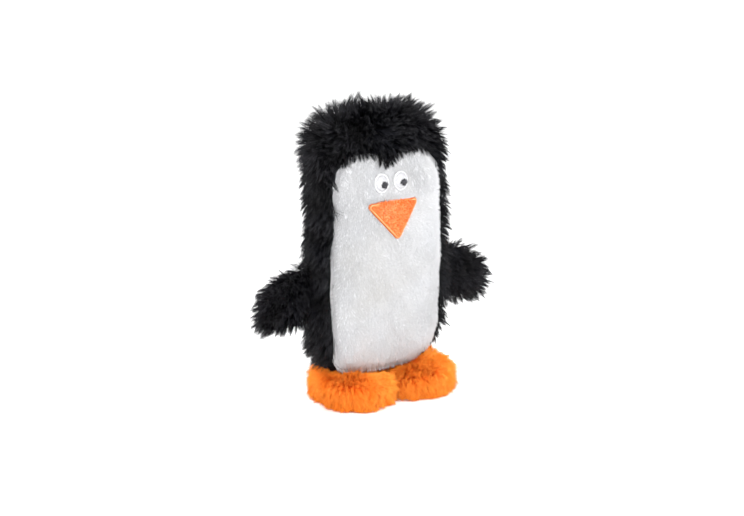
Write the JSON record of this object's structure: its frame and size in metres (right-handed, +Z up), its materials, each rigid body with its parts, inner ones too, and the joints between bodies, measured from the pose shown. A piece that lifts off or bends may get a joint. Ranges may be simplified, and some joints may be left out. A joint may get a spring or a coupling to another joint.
{
  "type": "plush penguin",
  "caption": "Stuffed toy penguin with a white front, black pile body, flapping flippers, felt beak, embroidered eyes and padded feet that it stands on.",
  "frame": {"origin": "on the floor under the middle of the toy, at the bottom centre of its box", "axes": "+Z up from the soles to the crown, -Y out of the face, +X to the toy's own left"},
  "size_m": [0.1856, 0.069, 0.204],
  "materials": {
    "white_plush": "matte",
    "black_pile": "matte",
    "orange_pile": "matte",
    "beak_plush": "matte",
    "peach_thread": "satin",
    "white_thread": "satin",
    "black_thread": "satin",
    "label_satin": "satin",
    "fibrefill": "matte"
  },
  "bodies": {
    "torso": {"front_panel": "white_plush", "body_side_right": "black_pile", "body_side_left": "black_pile", "base_panel": "black_pile", "body_stuffing": "fibrefill", "beak": "beak_plush", "beak_stitching": "peach_thread", "eye_white_right": "white_thread", "eye_white_left": "white_thread", "pupil_right": "black_thread", "pupil_left": "black_thread", "care_label": "label_satin"},
    "flipper_right": {"flipper_right_front": "black_pile", "flipper_right_back": "black_pile", "flipper_right_stuffing": "fibrefill"},
    "flipper_left": {"flipper_left_front": "black_pile", "flipper_left_back": "black_pile", "flipper_left_stuffing": "fibrefill"},
    "foot_right": {"foot_right_upper": "orange_pile", "foot_right_sole": "orange_pile", "foot_right_stuffing": "fibrefill"},
    "foot_left": {"foot_left_upper": "orange_pile", "foot_left_sole": "orange_pile", "foot_left_stuffing": "fibrefill"}
  },
  "joints": [
    {"name": "flipper_right_flap", "type": "hinge", "parent": "torso", "child": "flipper_right", "pos_m": [-0.0535, 0.0075, 0.079], "axis": [0, 0, 1], "range_deg": [-60, 60], "stiffness_Nm_per_rad": 0.01},
    {"name": "flipper_left_flap", "type": "hinge", "parent": "torso", "child": "flipper_left", "pos_m": [0.0535, 0.0075, 0.079], "axis": [0, 0, -1], "range_deg": [-60, 60], "stiffness_Nm_per_rad": 0.01},
    {"name": "foot_right_flex", "type": "hinge", "parent": "torso", "child": "foot_right", "pos_m": [-0.025, 0.0255, 0.0178], "axis": [1, 0, 0], "range_deg": [0, 20], "stiffness_Nm_per_rad": 0.1},
    {"name": "foot_left_flex", "type": "hinge", "parent": "torso", "child": "foot_left", "pos_m": [0.025, 0.0255, 0.0178], "axis": [1, 0, 0], "range_deg": [0, 20], "stiffness_Nm_per_rad": 0.1}
  ]
}
